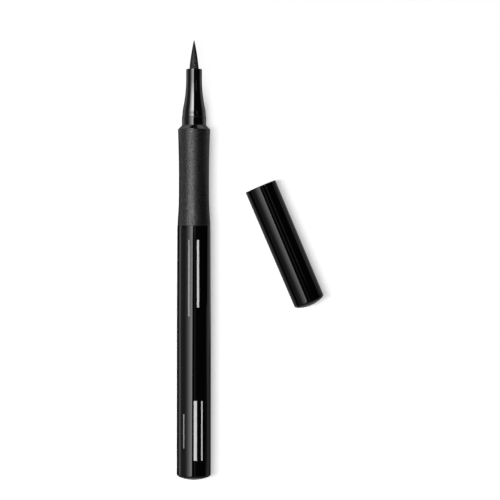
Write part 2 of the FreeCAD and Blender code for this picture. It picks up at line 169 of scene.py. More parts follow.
def turnedPiece(name, path, axis, closed=True, angles=None, radius=None):
    # surface of revolution: origin + along * direction + radius * (cos(angle) * up + sin(angle) * side);
    # radius may be a grid of rows by angles, for a surface that isn't quite round;
    # an outline that isn't closed starts and ends on the axis
    origin, direction = np.array(axis["origin"]), np.array(axis["direction"])
    side = np.cross(direction, upward)
    if angles is None:
        angles = evenAngles(roundSides)
    rows, columns = len(path), len(angles)
    if radius is None:
        radius = np.repeat(path[:, :1], columns, axis=1)
    spokes = np.cos(angles)[:, None] * upward + np.sin(angles)[:, None] * side
    grid = origin + path[:, 1, None, None] * direction + radius[:, :, None] * spokes
    number = np.arange(rows * columns).reshape(rows, columns)
    if not closed:
        number[0], number[-1] = number[0, 0], number[-1, 0]
    used, number = np.unique(number, return_inverse=True)
    number = number.reshape(rows, columns)
    # UV in mm: round the widest girth from the top, and along the outline
    girth = np.append(angles, angles[0] + 2 * math.pi) * np.abs(path[:, 0]).max()
    steps = np.linalg.norm(np.diff(np.vstack([path, path[:1]]), axis=0), axis=1)
    travel = np.append(0, np.cumsum(steps))
    # bands of faces, with the corners that each keeps: triangles round the two poles, quads between
    whole = [0, 1, 2, 3]
    if closed:
        quads, corners = gridQuads(number, np.roll(number, -1, 0)), cornerUv(girth, travel)
        bands = [(slice(None), whole)]
    else:
        quads, corners = gridQuads(number[:-1], number[1:]), cornerUv(girth, travel[:-1])
        bands = [(slice(0, 1), [0, 2, 3]), (slice(1, -1), whole), (slice(-1, None), [0, 1, 2])]
    faces, uv = [], []
    for band, keep in bands:
        faces += quads[band][:, :, keep].reshape(-1, len(keep)).tolist()
        uv.append(corners[band][:, :, keep].reshape(-1, 2))
    return meshPiece(name, grid.reshape(-1, 3)[used], faces, np.vstack(uv))


def dress(piece, material, body, node):
    piece.data.materials.clear()
    piece.data.materials.append(material)
    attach(piece, body)
    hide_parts(node)


# The pen is drawn from its tail along +Y, the cap from its mouth towards its crown.
penAxis = {"origin": (0.0, -104.15, 0.0), "direction": (0.0, 1.0, 0.0)}
layAngle = math.radians(23.02)
capAxis = {"origin": (19.56, -17.9, -0.25), "direction": (math.sin(layAngle), -math.cos(layAngle), 0.0)}

# Camera: straight down on the table, far enough for only a slight perspective, rolled a hair (radians)
cameraPlan = {"place": (16.486, -36.62, 600.0), "roll": 0.00085, "sensor": 36.0, "lens": 146.9,
              "clipStart": 10.0, "clipEnd": 50000.0}
lens = bpy.data.cameras.new("tableCamera")
lens.sensor_width = cameraPlan["sensor"]
lens.lens = cameraPlan["lens"]
lens.clip_start, lens.clip_end = cameraPlan["clipStart"] * mm, cameraPlan["clipEnd"] * mm
camera = bpy.data.objects.new("tableCamera", lens)
camera.location = np.array(cameraPlan["place"]) * mm
camera.rotation_euler = (0, 0, cameraPlan["roll"])
scene.collection.objects.link(camera)
scene.camera = camera
print("camera set")

# Gloss black ABS from a polished mould: near-black body, mirror-sharp reflections that waver a little with
# the moulding's slow unevenness, and a faint haze from handling. The nose mirrors most and the cap least.
glossAbs = {"body": "#030303", "roughness": 0.05, "ior": 1.5, "specular": 0.5, "noseSpecular": 1.0,
            "capSpecular": 0.3, "haze": 0.03, "hazeSize": 0.9, "hazeFrom": 0.35, "hazeTo": 0.75,
            "waveSize": 4.0, "waveHeight": 0.0015}


def glossPlastic(name, look, specular):
    made, tree = startMaterial(name)
    place = addNode(tree, "ShaderNodeTexCoord").outputs["Object"]
    haze = addNode(tree, "ShaderNodeTexNoise",
                   {"Vector": place, "Scale": perMetre(look["hazeSize"]), "Detail": 4.0, "Roughness": 0.65})
    rough = addNode(tree, "ShaderNodeMapRange",
                    {"Value": haze.outputs["Fac"], "From Min": look["hazeFrom"], "From Max": look["hazeTo"],
                     "To Min": look["roughness"], "To Max": look["roughness"] + look["haze"]})
    wave = addNode(tree, "ShaderNodeTexNoise",
                   {"Vector": place, "Scale": perMetre(look["waveSize"]), "Detail": 1.0})
    bump = addNode(tree, "ShaderNodeBump",
                   {"Strength": 1.0, "Distance": look["waveHeight"] * mm, "Height": wave.outputs["Fac"]})
    shader = addNode(tree, "ShaderNodeBsdfPrincipled",
                     {"Base Color": linear(look["body"]), "Roughness": rough.outputs["Result"],
                      "IOR": look["ior"], "Specular IOR Level": specular, "Normal": bump.outputs["Normal"]})
    addNode(tree, "ShaderNodeOutputMaterial", {"Surface": shader.outputs["BSDF"]})
    return made, tree, shader


# Silver pad print on the barrel: plain lines along it, a little worn and duller than the gloss.
# Each line is (round from the top, middle along Y, width, length) in mm.
printLines = {"ink": "#d4d4d5", "faintInk": "#8a8a8c", "roughness": 0.35, "grain": 0.25,
              "wornFrom": 0.25, "wornTo": 0.5, "wornLeft": 0.7,
              "bold": [(0.6, -89.4, 0.9, 17.4), (2.6, -89.4, 0.45, 17.4), (1.36, -43.55, 0.65, 19.7)],
              "fine": [(-3.0, -89.6, 0.4, 10.0), (-1.37, -44.85, 0.4, 22.3)]}


def printedPlastic(name, look, lines):
    made, tree, shader = glossPlastic(name, look, look["specular"])
    surface = addNode(tree, "ShaderNodeUVMap", uv_map="surfaceMm").outputs["UV"]
    girth = addNode(tree, "ShaderNodeSeparateXYZ", {"Vector": surface})
    place = addNode(tree, "ShaderNodeTexCoord").outputs["Object"]
    length = addNode(tree, "ShaderNodeSeparateXYZ", {"Vector": place})
    speck = addNode(tree, "ShaderNodeTexNoise",
                    {"Vector": place, "Scale": perMetre(lines["grain"]), "Detail": 3.0})
    worn = addNode(tree, "ShaderNodeMapRange",
                   {"Value": speck.outputs["Fac"], "From Min": lines["wornFrom"], "From Max": lines["wornTo"],
                    "To Min": lines["wornLeft"], "To Max": 1.0})
    masks = {}
    for kind in ("bold", "fine"):
        total = 0.0
        for around, middle, width, run in lines[kind]:
            across = addNode(tree, "ShaderNodeMath", {0: girth.outputs["X"], 1: around, 2: width / 2},
                             operation="COMPARE")
            down = addNode(tree, "ShaderNodeMath", {0: length.outputs["Y"], 1: middle * mm, 2: run / 2 * mm},
                           operation="COMPARE")
            both = addNode(tree, "ShaderNodeMath", {0: across.outputs[0], 1: down.outputs[0]},
                           operation="MULTIPLY")
            total = addNode(tree, "ShaderNodeMath", {0: total, 1: both.outputs[0]},
                            operation="MAXIMUM").outputs[0]
        masks[kind] = addNode(tree, "ShaderNodeMath", {0: total, 1: worn.outputs["Result"]},
                              operation="MULTIPLY").outputs[0]
    colour = linear(look["body"])
    for kind, ink in (("bold", "ink"), ("fine", "faintInk")):
        colour = addNode(tree, "ShaderNodeMix", {0: masks[kind], 6: colour, 7: linear(lines[ink])},
                         data_type="RGBA").outputs[2]
    tree.links.new(colour, shader.inputs["Base Color"])
    inked = addNode(tree, "ShaderNodeMath", {0: masks["bold"], 1: masks["fine"]}, operation="MAXIMUM")
    gloss = shader.inputs["Roughness"].links[0].from_socket
    rough = addNode(tree, "ShaderNodeMix", {0: inked.outputs[0], 2: gloss, 3: lines["roughness"]})
    tree.links.new(rough.outputs[0], shader.inputs["Roughness"])
    return made


# Soft-touch rubber paint over the grip: matt, with a fine sanded grain that glints. The real grain is about
# 0.1 mm, too fine to show, so it is drawn at 0.4 mm.
softTouch = {"dark": "#030303", "light": "#111111", "grain": 0.4, "grainFrom": 0.3, "grainTo": 0.7,
             "grainHeight": 0.04, "roughness": 0.42, "roughSpread": 0.1, "ior": 1.78, "dullest": 0.4}


def softRubber(name, look):
    made, tree = startMaterial(name)
    place = addNode(tree, "ShaderNodeTexCoord").outputs["Object"]
    grain = addNode(tree, "ShaderNodeTexNoise",
                    {"Vector": place, "Scale": perMetre(look["grain"]), "Detail": 1.0, "Roughness": 0.6})
    fleck = addNode(tree, "ShaderNodeMapRange",
                    {"Value": grain.outputs["Fac"], "From Min": look["grainFrom"],
                     "From Max": look["grainTo"]}).outputs["Result"]
    colour = addNode(tree, "ShaderNodeMix", {0: fleck, 6: linear(look["dark"]), 7: linear(look["light"])},
                     data_type="RGBA")
    rough = addNode(tree, "ShaderNodeMapRange",
                    {"Value": fleck, "To Min": look["roughness"] + look["roughSpread"] / 2,
                     "To Max": look["roughness"] - look["roughSpread"] / 2})
    bump = addNode(tree, "ShaderNodeBump",
                   {"Strength": 1.0, "Distance": look["grainHeight"] * mm, "Height": fleck})
    # hollows of the grain shine less than its peaks
    shine = addNode(tree, "ShaderNodeMix", {0: fleck, 6: (look["dullest"],) * 3 + (1.0,), 7: white},
                    data_type="RGBA")
    shader = addNode(tree, "ShaderNodeBsdfPrincipled",
                     {"Base Color": colour.outputs[2], "Roughness": rough.outputs["Result"],
                      "IOR": look["ior"], "Specular Tint": shine.outputs[2],
                      "Normal": bump.outputs["Normal"]})
    addNode(tree, "ShaderNodeOutputMaterial", {"Surface": shader.outputs["BSDF"]})
    return made


# Pressed fibre: fine strands along Y, matted and uneven in tone, with a soft sheen where they stand up.
# It is darker towards its wet end, given as a run of Y in mm.
nibLook = {"dark": "#020202", "light": "#3c3c3e", "strand": 0.35, "strandRun": 0.5, "mottle": 0.45,
           "height": 0.08, "roughness": 0.6, "sheen": 0.0, "specular": 0.25,
           "wetFrom": 16.5, "wetTo": 22.0, "dryLeft": 0.3}
wickLook = {"dark": "#1c1c1d", "light": "#4a4a4c", "strand": 0.08, "strandRun": 3.0, "mottle": 0.8,
            "height": 0.02, "roughness": 0.85, "sheen": 0.1, "specular": 0.5,
            "wetFrom": -60.0, "wetTo": 0.0, "dryLeft": 0.8}
reservoirLook = {"dark": "#2a2a2c", "light": "#5e5e60", "strand": 0.1, "strandRun": 6.0, "mottle": 1.5,
                 "height": 0.03, "roughness": 0.9, "sheen": 0.1, "specular": 0.5,
                 "wetFrom": -90.0, "wetTo": -30.0, "dryLeft": 0.7}
fibreTone = {"from": 0.19, "to": 0.33, "sheenRoughness": 0.5}


def pressedFibre(name, look):
    made, tree = startMaterial(name)
    place = addNode(tree, "ShaderNodeTexCoord").outputs["Object"]
    combed = addNode(tree, "ShaderNodeMapping",
                     {"Vector": place, "Scale": (1.0, look["strand"] / look["strandRun"], 1.0)})
    strands = addNode(tree, "ShaderNodeTexNoise",
                      {"Vector": combed.outputs["Vector"], "Scale": perMetre(look["strand"]),
                       "Detail": 3.0, "Roughness": 0.6})
    mottle = addNode(tree, "ShaderNodeTexNoise",
                     {"Vector": place, "Scale": perMetre(look["mottle"]), "Detail": 3.0, "Roughness": 0.6})
    tone = addNode(tree, "ShaderNodeMath", {0: strands.outputs["Fac"], 1: mottle.outputs["Fac"]},
                   operation="MULTIPLY")
    along = addNode(tree, "ShaderNodeSeparateXYZ", {"Vector": place})
    dry = addNode(tree, "ShaderNodeMapRange",
                  {"Value": along.outputs["Y"], "From Min": look["wetFrom"] * mm,
                   "From Max": look["wetTo"] * mm, "To Min": 1.0, "To Max": look["dryLeft"]})
    share = addNode(tree, "ShaderNodeMapRange",
                    {"Value": tone.outputs[0], "From Min": fibreTone["from"], "From Max": fibreTone["to"],
                     "To Max": dry.outputs["Result"]})
    colour = addNode(tree, "ShaderNodeMix",
                     {0: share.outputs["Result"], 6: linear(look["dark"]), 7: linear(look["light"])},
                     data_type="RGBA")
    bump = addNode(tree, "ShaderNodeBump",
                   {"Strength": 1.0, "Distance": look["height"] * mm, "Height": strands.outputs["Fac"]})
    shader = addNode(tree, "ShaderNodeBsdfPrincipled",
                     {"Base Color": colour.outputs[2], "Roughness": look["roughness"],
                      "Specular IOR Level": look["specular"], "Sheen Weight": look["sheen"],
                      "Sheen Roughness": fibreTone["sheenRoughness"], "Normal": bump.outputs["Normal"]})
    addNode(tree, "ShaderNodeOutputMaterial", {"Surface": shader.outputs["BSDF"]})
    return made


# Satin moulding: plastic from an eroded mould, with a low broad shine and a faint leathery unevenness;
# the pale ones let a little light through.
innerLook = {"dark": "#202021", "light": "#303032", "grain": 0.4, "height": 0.006, "roughness": 0.42,
             "glow": 0.0}
acetalLook = {"dark": "#cfcec8", "light": "#e2e1dc", "grain": 0.5, "height": 0.004, "roughness": 0.38,
              "glow": 0.15}
filmLook = {"dark": "#cfd0cc", "light": "#dddeda", "grain": 1.2, "height": 0.003, "roughness": 0.22,
            "glow": 0.1}
satin = {"roughSpread": 0.08, "glowReach": (0.6, 0.6, 0.5)}


def satinPlastic(name, look):
    made, tree = startMaterial(name)
    place = addNode(tree, "ShaderNodeTexCoord").outputs["Object"]
    grain = addNode(tree, "ShaderNodeTexNoise",
                    {"Vector": place, "Scale": perMetre(look["grain"]), "Detail": 4.0,
                     "Roughness": 0.6}).outputs["Fac"]
    colour = addNode(tree, "ShaderNodeMix", {0: grain, 6: linear(look["dark"]), 7: linear(look["light"])},
                     data_type="RGBA")
    rough = addNode(tree, "ShaderNodeMapRange",
                    {"Value": grain, "To Min": look["roughness"] - satin["roughSpread"],
                     "To Max": look["roughness"] + satin["roughSpread"]})
    bump = addNode(tree, "ShaderNodeBump",
                   {"Strength": 1.0, "Distance": look["height"] * mm, "Height": grain})
    shader = addNode(tree, "ShaderNodeBsdfPrincipled",
                     {"Base Color": colour.outputs[2], "Roughness": rough.outputs["Result"],
                      "Subsurface Weight": look["glow"], "Normal": bump.outputs["Normal"],
                      "Subsurface Radius": [reach * mm for reach in satin["glowReach"]]})
    addNode(tree, "ShaderNodeOutputMaterial", {"Surface": shader.outputs["BSDF"]})
    return made


# Drawn spring wire: bright steel with fine lines along the wire from the die.
wireLook = {"dark": "#8c8e90", "light": "#c9cbcd", "lineWidth": 0.05, "lineRun": 2.0, "smooth": 0.18,
            "rough": 0.4}


def drawnWire(name, look):
    made, tree = startMaterial(name)
    surface = addNode(tree, "ShaderNodeUVMap", uv_map="surfaceMm").outputs["UV"]
    drawn = addNode(tree, "ShaderNodeMapping",
                    {"Vector": surface, "Scale": (1 / look["lineWidth"], 1 / look["lineRun"], 1.0)})
    lines = addNode(tree, "ShaderNodeTexNoise",
                    {"Vector": drawn.outputs["Vector"], "Scale": 1.0, "Detail": 2.0}).outputs["Fac"]
    colour = addNode(tree, "ShaderNodeMix", {0: lines, 6: linear(look["dark"]), 7: linear(look["light"])},
                     data_type="RGBA")
    rough = addNode(tree, "ShaderNodeMapRange",
                    {"Value": lines, "To Min": look["smooth"], "To Max": look["rough"]})
    shader = addNode(tree, "ShaderNodeBsdfPrincipled",
                     {"Base Color": colour.outputs[2], "Metallic": 1.0, "Roughness": rough.outputs["Result"]})
    addNode(tree, "ShaderNodeOutputMaterial", {"Surface": shader.outputs["BSDF"]})
    return made


glossBlack = glossPlastic("glossBlackAbs", glossAbs, glossAbs["specular"])[0]
noseBlack = glossPlastic("polishedNoseAbs", glossAbs, glossAbs["noseSpecular"])[0]
capBlack = glossPlastic("glossCapAbs", glossAbs, glossAbs["capSpecular"])[0]
printedBlack = printedPlastic("printedGlossAbs", glossAbs, printLines)
gripRubber = softRubber("softTouchRubber", softTouch)
nibFelt = pressedFibre("pressedFeltNib", nibLook)
wickFibre = pressedFibre("bondedWickFibre", wickLook)
reservoirFibre = pressedFibre("reservoirFibreBundle", reservoirLook)
innerSatin = satinPlastic("satinPolyethylene", innerLook)
naturalAcetal = satinPlastic("naturalAcetal", acetalLook)
wrapFilm = satinPlastic("polypropyleneFilm", filmLook)
springSteel = drawnWire("drawnSpringSteel", wireLook)
print("materials made")

# Barrel tube: parallel, then drafted, then the foot of the grip's rear flank
barrel = {"bore": 4.1, "radius": 5.0, "tail": 1.2, "tailEdge": 0.3, "taperStart": 46.05, "shoulder": 71.95,
          "shoulderRadius": 4.905, "gripLine": 74.63, "gripLineRadius": 4.853, "flankCurve": 69.67,
          "flankSteps": 8, "seamEdge": 0.07}
path = [(barrel["radius"], barrel["tail"], barrel["tailEdge"]),
        (barrel["radius"], barrel["taperStart"], 0),
        (barrel["shoulderRadius"], barrel["shoulder"], 0)]
path += arcBetween((barrel["shoulderRadius"], barrel["shoulder"]),
                   (barrel["gripLineRadius"], barrel["gripLine"]),
                   barrel["flankCurve"], barrel["flankSteps"], barrel["seamEdge"])
path += [(barrel["bore"], barrel["gripLine"], 0), (barrel["bore"], barrel["tail"], 0)]
barrelTube = turnedPiece("barrelTube", roundedPath(path), penAxis)
dress(barrelTube, printedBlack, "pen", "barrel_tube")

# Tail plug: a low dome set in from the barrel's edge with a shadow groove, a skirt and the reservoir stop
tail = {"domeRadius": 4.5, "domeCurve": 11.13, "domeFoot": 0.95, "domeSteps": 24, "footEdge": 0.05,
        "groove": 4.15, "foot": barrel["tail"], "skirt": 4.08, "skirtBore": 3.28, "skirtEnd": 7.95,
        "floor": 2.15, "stop": 2.4, "stopBore": 1.6, "stopEnd": 12.95}
path = [(0, 0, 0)]
path += arcBetween((0, 0), (tail["domeRadius"], tail["domeFoot"]),
                   tail["domeCurve"], tail["domeSteps"], tail["footEdge"])
path += [(tail["groove"], tail["foot"], 0),
         (tail["skirt"], tail["foot"], 0), (tail["skirt"], tail["skirtEnd"], 0),
         (tail["skirtBore"], tail["skirtEnd"], 0), (tail["skirtBore"], tail["floor"], 0),
         (tail["stop"], tail["floor"], 0), (tail["stop"], tail["stopEnd"], 0),
         (tail["stopBore"], tail["stopEnd"], 0), (tail["stopBore"], tail["floor"], 0), (0, tail["floor"], 0)]
tailPlug = turnedPiece("tailPlug", roundedPath(path, closed=False), penAxis, closed=False)
dress(tailPlug, glossBlack, "pen", "tail_plug")

# Grip sleeve: rear flank down to a waist, then a gentle flare forward
grip = {"bore": 3.825, "rear": barrel["gripLine"], "rearRadius": barrel["gripLineRadius"],
        "roundCurve": barrel["flankCurve"], "bend": 77.01, "bendRadius": 4.721, "hollowCurve": 104.5,
        "waistStart": 84.6, "waistEnd": 89.0, "waist": 4.445, "flareCurve": 309.5, "front": 102.85,
        "frontRadius": 4.755, "edge": 0.07, "roundSteps": 8, "hollowSteps": 16, "flareSteps": 16}
path = [(grip["bore"], grip["rear"], 0), (grip["rearRadius"], grip["rear"], grip["edge"])]
path += arcBetween((grip["rearRadius"], grip["rear"]), (grip["bendRadius"], grip["bend"]),
                   grip["roundCurve"], grip["roundSteps"])
path += arcBetween((grip["bendRadius"], grip["bend"]), (grip["waist"], grip["waistStart"]),
                   -grip["hollowCurve"], grip["hollowSteps"])
path += [(grip["waist"], grip["waistEnd"], 0)]
path += arcBetween((grip["waist"], grip["waistEnd"]), (grip["frontRadius"], grip["front"]),
                   -grip["flareCurve"], grip["flareSteps"], grip["edge"])
path += [(grip["bore"], grip["front"], 0)]
gripSleeve = turnedPiece("gripSleeve", roundedPath(path), penAxis)
dress(gripSleeve, gripRubber, "pen", "grip_sleeve")

# Front section: insert and neck inside, bevelled shoulder and the seat of the cap outside
front = {"bore": 2.95, "insertRear": 66.63, "insert": 4.08, "leadIn": 0.4, "gripLine": grip["rear"],
         "neck": 3.795, "shoulder": grip["front"], "shoulderRadius": grip["frontRadius"],
         "shoulderEdge": 102.97, "seat": 3.575, "seatStart": 104.15, "parting": 106.6, "edge": 0.05,
         "partingEdge": 0.14}
path = [(front["bore"], front["insertRear"], 0), (front["insert"] - front["leadIn"], front["insertRear"], 0),
        (front["insert"], front["insertRear"] + front["leadIn"], 0), (front["insert"], front["gripLine"], 0),
        (front["neck"], front["gripLine"], 0), (front["neck"], front["shoulder"], 0),
        (front["shoulderRadius"], front["shoulder"], front["edge"]),
        (front["shoulderRadius"], front["shoulderEdge"], front["edge"]),
        (front["seat"], front["seatStart"], front["edge"]),
        (front["seat"], front["parting"], front["partingEdge"]), (front["bore"], front["parting"], 0)]
frontSection = turnedPiece("frontSection", roundedPath(path), penAxis)
dress(frontSection, noseBlack, "pen", "front_section")

# Nozzle: skirt, hollow flare and tube, with four air vents in the wall of the nib's bore
nose = {"pocket": 2.22, "rear": 93.6, "plug": 2.93, "leadIn": 0.4, "parting": front["parting"],
        "skirt": 3.54, "edge": front["partingEdge"], "foot": 107.39, "footRadius": 3.435, "roundCurve": 8.44,
        "bend": 109.165, "bendRadius": 3.246, "hollowCurve": 41.2, "tubeStart": 117.83, "tube": 2.325,
        "rim": 120.7, "rimEdge": 0.18, "bore": 1.45, "boreEdge": 0.04, "boreEnd": 116.2, "holder": 1.82,
        "flangeEnd": 96.6, "roundSteps": 10, "hollowSteps": 28,
        "vents": 4, "ventWidth": 0.4, "ventDepth": 0.25, "slackShare": 0.02}
path = [(nose["pocket"], nose["rear"], 0), (nose["plug"] - nose["leadIn"], nose["rear"], 0),
        (nose["plug"], nose["rear"] + nose["leadIn"], 0), (nose["plug"], nose["parting"], 0),
        (nose["skirt"], nose["parting"], nose["edge"]), (nose["footRadius"], nose["foot"], 0)]
path += arcBetween((nose["footRadius"], nose["foot"]), (nose["bendRadius"], nose["bend"]),
                   nose["roundCurve"], nose["roundSteps"])
path += arcBetween((nose["bendRadius"], nose["bend"]), (nose["tube"], nose["tubeStart"]),
                   -nose["hollowCurve"], nose["hollowSteps"])
path += [(nose["tube"], nose["rim"], nose["rimEdge"]), (nose["bore"], nose["rim"], nose["boreEdge"]),
         (nose["bore"], nose["boreEnd"], 0), (nose["holder"], nose["boreEnd"], 0),
         (nose["holder"], nose["flangeEnd"], 0), (nose["pocket"], nose["flangeEnd"], 0)]
nosePath = roundedPath(path)
halfVent = nose["ventWidth"] / 2 / nose["bore"]
ventTurns = evenAngles(nose["vents"])
# a column just outside and just inside each side of a vent
slack = nose["slackShare"]
sides = halfVent * np.array([-1 - slack, -1 + slack, 1 - slack, 1 + slack])
noseAngles = np.append(evenAngles(roundSides), (ventTurns[:, None] + sides).ravel())
noseAngles = np.sort(np.mod(noseAngles + math.pi, 2 * math.pi) - math.pi)
fromVent = np.abs(np.mod(noseAngles[:, None] - ventTurns + math.pi, 2 * math.pi) - math.pi).min(axis=1)
# the bore is wider by the vent's depth wherever the angle lies inside a vent
boreRows = nosePath[:, 0] < nose["bore"] + nose["boreEdge"] + tiny
boreRows &= nosePath[:, 1] > nose["boreEnd"] - tiny
noseRadius = nosePath[:, :1] + nose["ventDepth"] * boreRows[:, None] * (fromVent < halfVent)[None]
nozzle = turnedPiece("flaredNozzle", nosePath, penAxis, angles=noseAngles, radius=noseRadius)
dress(nozzle, noseBlack, "pen", "nozzle")

# Nib: a felt rod ground to a slightly swollen cone; low ridges of fibre run along it
nib = {"socket": 0.97, "rear": 98.7, "socketEnd": 101.2, "radius": 1.4, "stemEnd": 119.9,
       "rim": nose["rim"], "coneCurve": 70.0, "pointRadius": 0.1001, "pointStart": 129.103,
       "pointCurve": 0.13, "tip": 129.15, "coneSteps": 120, "pointSteps": 8, "sides": 160,
       "ridge": 0.022, "ridges": 24, "seed": 7, "fewest": 3, "most": 40, "drift": 1.6, "meanCut": 0.5,
       "contrast": 0.35, "fadeFrom": 120.3, "fade": 0.8}
path = [(0, nib["socketEnd"], 0), (nib["socket"], nib["socketEnd"], 0), (nib["socket"], nib["rear"], 0),
        (nib["radius"], nib["rear"], 0), (nib["radius"], nib["stemEnd"], 0), (nib["radius"], nib["rim"], 0)]
path += arcBetween((nib["radius"], nib["rim"]), (nib["pointRadius"], nib["pointStart"]),
                   nib["coneCurve"], nib["coneSteps"])
path += arcBetween((nib["pointRadius"], nib["pointStart"]), (0, nib["tip"]),
                   nib["pointCurve"], nib["pointSteps"])
nibPath = np.array(path)[:, :2]
nibPath[-1, 0] = 0
nibAngles = evenAngles(nib["sides"])
draw = np.random.default_rng(nib["seed"])
waves = draw.integers(nib["fewest"], nib["most"], nib["ridges"])
phase = draw.uniform(0, 2 * math.pi, nib["ridges"])
slope = draw.normal(0, nib["drift"], nib["ridges"])
# fibre relief: the mean of many waves round the nib, each drifting slowly along it, always cut inwards
relief = np.sin(waves[:, None, None] * nibAngles + phase[:, None, None]
                + slope[:, None, None] * nibPath[None, :, 1:]).mean(axis=0) * math.sqrt(nib["ridges"])
relief = np.clip(nib["meanCut"] + nib["contrast"] * relief, 0, 1)
shown = np.clip((nibPath[:, 1:] - nib["fadeFrom"]) / nib["fade"], 0, 1) * nibPath[:, :1] / nib["radius"]
nibRadius = nibPath[:, :1] - nib["ridge"] * shown * relief
feltNib = turnedPiece("feltNib", nibPath, penAxis, closed=False, angles=nibAngles, radius=nibRadius)
dress(feltNib, nibFelt, "pen", "nib")
print("pen made")

# Cap shell: a drafted tube with a tight bore at its mouth and a wider chamber behind it
shell = {"bore": 3.625, "mouthLead": 0.25, "leadEdge": 0.05, "mouthRadius": 4.75, "mouthEdge": 0.15,
         "endRadius": 4.625, "end": 36.85, "endEdge": 0.3, "chamber": 3.85, "mouthDepth": 5.2}
path = [(shell["bore"] + shell["mouthLead"], 0, shell["leadEdge"]),
        (shell["mouthRadius"], 0, shell["mouthEdge"]),
        (shell["endRadius"], shell["end"], shell["endEdge"]), (shell["chamber"], shell["end"], 0),
        (shell["chamber"], shell["mouthDepth"], 0), (shell["bore"], shell["mouthDepth"], 0),
        (shell["bore"], shell["mouthLead"], 0)]
capShell = turnedPiece("capShell", roundedPath(path), capAxis)
dress(capShell, capBlack, "cap", "cap_shell")

# Cap crown: a low dome over a shadow groove, on a plug with a boss that centres the spring
crown = {"boss": 1.6, "bossEnd": 32.85, "floor": 33.85, "plug": 3.83, "foot": shell["end"], "groove": 3.9,
         "domeFoot": 37.0, "radius": 4.325, "footEdge": 0.06, "top": 38.0, "curve": 9.85, "steps": 24}
path = [(0, crown["bossEnd"], 0), (crown["boss"], crown["bossEnd"], 0), (crown["boss"], crown["floor"], 0),
        (crown["plug"], crown["floor"], 0), (crown["plug"], crown["foot"], 0),
        (crown["groove"], crown["foot"], 0), (crown["radius"], crown["domeFoot"], crown["footEdge"])]
path += arcBetween((crown["radius"], crown["domeFoot"]), (0, crown["top"]), crown["curve"], crown["steps"])
crownPath = roundedPath(path, closed=False)
crownPath[-1, 0] = 0
capCrown = turnedPiece("capCrown", crownPath, capAxis, closed=False)
dress(capCrown, capBlack, "cap", "cap_crown")

# Inner cap: a sealing cup that floats on the spring
inner = {"bore": 2.95, "seal": 0.3, "sealEdge": 0.04, "front": shell["mouthDepth"], "flange": 3.77,
         "flangeEdge": 0.08, "flangeEnd": 6.2, "radius": 3.45, "end": 27.8, "boss": crown["boss"],
         "bossEnd": 28.8, "floor": 27.0}
path = [(0, inner["floor"], 0), (inner["bore"], inner["floor"], 0),
        (inner["bore"], inner["front"] + inner["seal"], 0),
        (inner["bore"] + inner["seal"], inner["front"], inner["sealEdge"]),
        (inner["flange"], inner["front"], inner["flangeEdge"]), (inner["flange"], inner["flangeEnd"], 0),
        (inner["radius"], inner["flangeEnd"], 0), (inner["radius"], inner["end"], 0),
        (inner["boss"], inner["end"], 0), (inner["boss"], inner["bossEnd"], 0), (0, inner["bossEnd"], 0)]
innerCap = turnedPiece("innerCap", roundedPath(path, closed=False), capAxis, closed=False)
dress(innerCap, innerSatin, "inner_cap", "inner_cap")

# Cap spring: a round wire carried along a helix, closed at both ends
spring = {"coil": 2.2, "wire": 0.2, "turns": 6, "start": 28.04, "rise": 5.57, "stepsPerTurn": 48,
          "wireSteps": 14, "seat": crown["floor"], "near": 27.84, "travel": 3.0}
origin, direction = np.array(capAxis["origin"]), np.array(capAxis["direction"])
side = np.cross(direction, upward)
wound = 2 * math.pi * spring["turns"]
turn = np.linspace(0, wound, spring["turns"] * spring["stepsPerTurn"] + 1)
spoke = np.cos(turn)[:, None] * upward + np.sin(turn)[:, None] * side
pitch = spring["rise"] / wound
middle = origin + (spring["start"] + pitch * turn)[:, None] * direction + spring["coil"] * spoke
heading = spring["coil"] * (np.cos(turn)[:, None] * side - np.sin(turn)[:, None] * upward) + pitch * direction
heading /= np.linalg.norm(heading, axis=1)[:, None]
rising = np.cross(heading, spoke)
around = np.linspace(0, 2 * math.pi, spring["wireSteps"] + 1)
# wire surface: middle of the wire + wire radius * (cos * spoke + sin * the normal across it)
tube = middle[:, None] + spring["wire"] * (np.cos(around[:-1])[None, :, None] * spoke[:, None]
                                           + np.sin(around[:-1])[None, :, None] * rising[:, None])
number = np.arange(tube.shape[0] * tube.shape[1]).reshape(tube.shape[:2])
quads = gridQuads(number[:-1], number[1:]).reshape(-1, 4)
ends = [number[0, ::-1].tolist(), number[-1].tolist()]
wireLength = turn * math.hypot(spring["coil"], pitch)
uv = cornerUv(around * spring["wire"], wireLength).reshape(-1, 2)
uv = np.vstack([uv, np.zeros((2 * spring["wireSteps"], 2))])
capSpring = meshPiece("capSpring", tube.reshape(-1, 3), quads.tolist() + ends, uv)
dress(capSpring, springSteel, "cap", "cap_spring")
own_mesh(capSpring)
print("cap made")

# Pieces sealed inside the pen keep their CAD shape
for node, material in (("nib_holder", naturalAcetal), ("feed_wick", wickFibre),
                       ("reservoir_core", reservoirFibre), ("reservoir_film", wrapFilm)):
    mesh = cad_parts[node].data
    mesh.materials.clear()
    mesh.materials.append(material)

# White table: the camera sees the lit paper with plain white added, so that the shadow stays. Round the nose
# it turns towards plain white, which thins the shadow or cuts it short. Other rays see plain paper.
table = {"level": -5.0, "half": 6000.0, "paper": "#c9c9c9", "white": 0.5, "whiteNear": 80.0,
         "whiteFar": 500.0, "thinStart": 2.0, "thinEnd": 16.0, "thin": 0.9,
         "cutStart": -6.0, "cutEnd": 5.0, "cutNear": 3.0, "cutFar": 6.0, "cut": 0.8}
